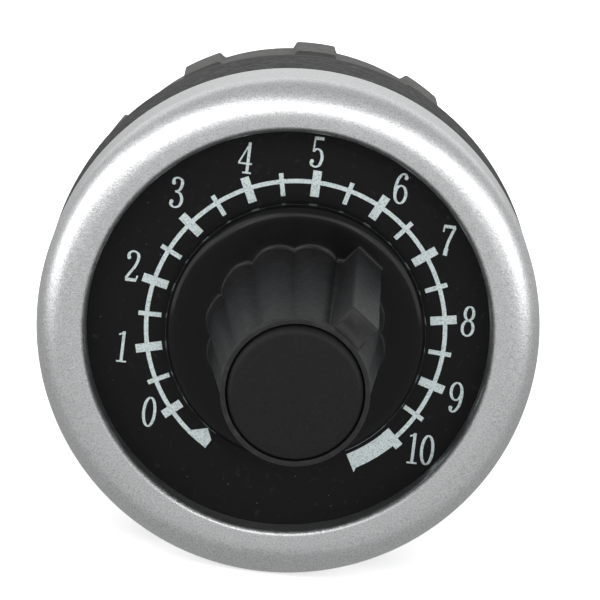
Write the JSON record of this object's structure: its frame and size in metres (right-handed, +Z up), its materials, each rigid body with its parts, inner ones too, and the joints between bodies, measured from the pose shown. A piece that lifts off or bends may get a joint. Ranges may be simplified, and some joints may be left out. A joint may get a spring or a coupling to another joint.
{
  "type": "panel potentiometer",
  "caption": "Panel-mount rotary potentiometer with round aluminium bezel, 0-10 dial, skirted knob, threaded barrel, ring nut and screw terminals.",
  "frame": {"origin": "on the barrel's axis, in the rear face of the panel gasket, where the panel's front face seats", "axes": "the dial faces -Y, +Z is up towards the middle of the scale, +X is right for someone who reads the dial"},
  "size_m": [0.03, 0.0621, 0.03],
  "materials": {
    "satin_aluminium": "fine-blasted satin",
    "dial_black": "matt black with a pale printed scale",
    "housing_black": "moulded matt black",
    "knob_black": "moulded semi-gloss black",
    "nut_grey": "moulded grey",
    "black_rubber": "matt",
    "bright_steel": "zinc plated",
    "nickel_brass": "nickel plated, part worn",
    "plain_brass": "turned",
    "spring_bronze": "rolled strip",
    "board_brown": "phenolic paper board",
    "track_carbon": "printed carbon",
    "rotor_white": "moulded natural nylon"
  },
  "bodies": {
    "housing": {"bezel_ring": "satin_aluminium", "dial_plate": "dial_black", "dial_seal": "black_rubber", "housing": "housing_black", "panel_gasket": "black_rubber", "bushing_plate": "nickel_brass", "bushing_washer": "bright_steel", "bushing_nut": "nickel_brass", "resistance_track": "track_carbon", "collector_ring": "bright_steel", "track_board": "board_brown", "track_rivets": "nickel_brass", "pot_cover": "bright_steel", "terminal_block": "housing_black", "terminal_strip_1": "nickel_brass", "terminal_strip_2": "nickel_brass", "terminal_strip_3": "nickel_brass"},
    "knob": {"knob_body": "knob_black", "knob_cap": "knob_black", "collet": "plain_brass", "collet_nut": "plain_brass", "spindle": "bright_steel", "retaining_clip": "bright_steel", "spindle_seal": "black_rubber", "rotor": "rotor_white", "wiper": "spring_bronze"},
    "washer": {"thrust_washer": "bright_steel"},
    "nut": {"ring_nut": "nut_grey"},
    "clamp_1": {"clamp_plate_1": "bright_steel"},
    "screw_1": {"terminal_screw_1": "bright_steel"},
    "clamp_2": {"clamp_plate_2": "bright_steel"},
    "screw_2": {"terminal_screw_2": "bright_steel"},
    "clamp_3": {"clamp_plate_3": "bright_steel"},
    "screw_3": {"terminal_screw_3": "bright_steel"}
  },
  "joints": [
    {"name": "knob_turn", "type": "hinge", "parent": "housing", "child": "knob", "pos_m": [0.00045, -0.012, 0], "axis": [0, 1, 0], "range_deg": [-184, 111]},
    {"name": "washer_slide", "type": "slide", "parent": "housing", "child": "washer", "axis": [0, -1, 0], "range_m": [-0.006, 0.0045]},
    {"name": "nut_turn", "type": "hinge", "parent": "washer", "child": "nut", "pos_m": [0, 0.0099, 0], "axis": [0, -1, 0], "range_deg": [-1441, 1081]},
    {"name": "clamp_slide_1", "type": "slide", "parent": "housing", "child": "clamp_1", "axis": [1, 0, 0], "range_m": [0, 0.0022]},
    {"name": "screw_turn_1", "type": "hinge", "parent": "clamp_1", "child": "screw_1", "pos_m": [-0.0078, 0.0251, 0], "axis": [1, 0, 0], "range_deg": [0, 1585]},
    {"name": "clamp_slide_2", "type": "slide", "parent": "housing", "child": "clamp_2", "axis": [0, 0, -1], "range_m": [0, 0.0022]},
    {"name": "screw_turn_2", "type": "hinge", "parent": "clamp_2", "child": "screw_2", "pos_m": [0, 0.0251, 0.0078], "axis": [0, 0, -1], "range_deg": [0, 1585]},
    {"name": "clamp_slide_3", "type": "slide", "parent": "housing", "child": "clamp_3", "axis": [-1, 0, 0], "range_m": [0, 0.0022]},
    {"name": "screw_turn_3", "type": "hinge", "parent": "clamp_3", "child": "screw_3", "pos_m": [0.0078, 0.0251, 0], "axis": [-1, 0, 0], "range_deg": [0, 1585]}
  ],
  "couplings": [
    {"joint": "nut_turn", "follows": "washer_slide", "rad_per_m": 4188.8},
    {"joint": "screw_turn_1", "follows": "clamp_slide_1", "rad_per_m": 12566},
    {"joint": "screw_turn_2", "follows": "clamp_slide_2", "rad_per_m": 12566},
    {"joint": "screw_turn_3", "follows": "clamp_slide_3", "rad_per_m": 12566}
  ]
}
